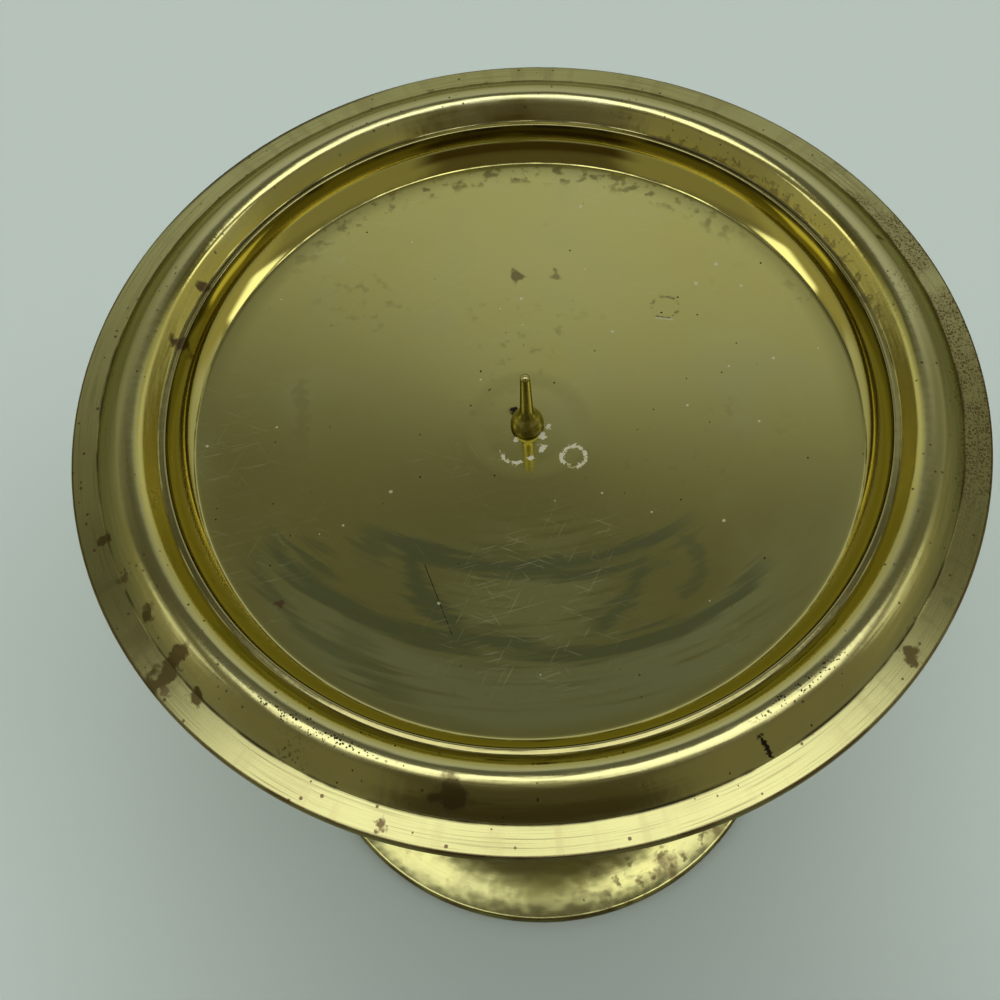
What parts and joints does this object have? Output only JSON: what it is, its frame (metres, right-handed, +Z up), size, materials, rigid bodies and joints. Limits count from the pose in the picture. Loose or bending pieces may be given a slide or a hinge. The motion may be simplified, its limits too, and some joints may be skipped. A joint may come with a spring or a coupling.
{
  "type": "pricket candle stand",
  "caption": "Turned brass candle stand: a round drip pan with a beaded brim and a centre spike for a pillar candle, on a baluster stem and a hollow trumpet foot.",
  "frame": {"origin": "centre of the ring that the foot stands on, on the table plane", "axes": "+Z up along the spike and the stem, X and Y alike because the stand is round"},
  "size_m": [0.15, 0.15, 0.1399],
  "materials": {
    "pan_brass": "polished and lightly tarnished",
    "turned_brass": "polished turned brass",
    "foot_brass": "polished with tarnish spots",
    "fastener_steel": "plain"
  },
  "bodies": {
    "root": {"drip_pan": "pan_brass", "pricket": "turned_brass", "stem": "turned_brass", "foot": "foot_brass", "foot_washer": "fastener_steel", "foot_nut": "fastener_steel"}
  },
  "joints": []
}
